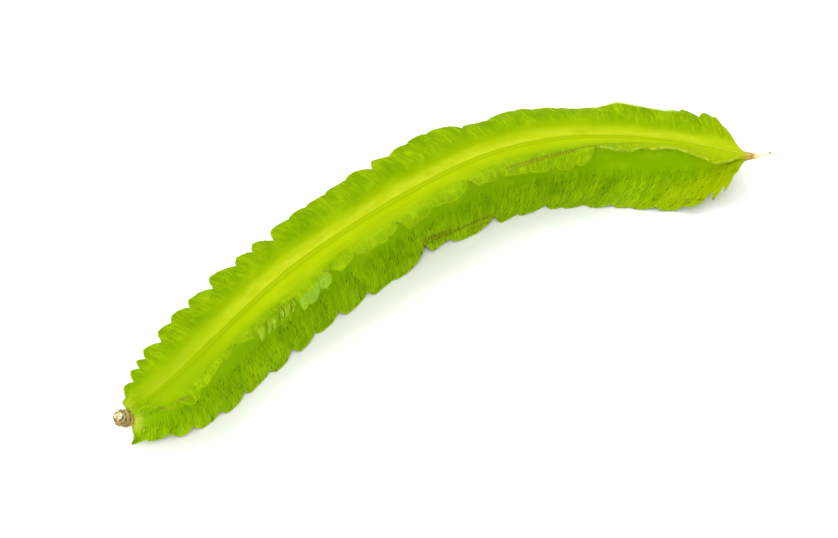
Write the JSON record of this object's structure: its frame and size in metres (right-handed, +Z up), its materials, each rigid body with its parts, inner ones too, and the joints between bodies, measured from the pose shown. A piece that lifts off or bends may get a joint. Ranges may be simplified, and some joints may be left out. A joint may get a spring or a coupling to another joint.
{
  "type": "winged bean",
  "caption": "Fresh winged bean pod: a curved four-sided green pod with ruffled, notched wings along its edges, a cut stalk end and a thin dried beak.",
  "frame": {"origin": "middle of the bounding box, on the surface the pod lies on", "axes": "+X from the stalk to the beak, +Y to the outer side of the pod's bend, +Z up"},
  "size_m": [0.1938, 0.0516, 0.0196],
  "materials": {
    "pod": "waxy green pod skin, satin",
    "stalk": "brown-grey corky stalk with scar rings, matte",
    "beak": "cream to orange-brown dried beak, matte"
  },
  "bodies": {
    "root": {"pod": "pod", "stalk": "stalk", "beak": "beak"}
  },
  "joints": []
}
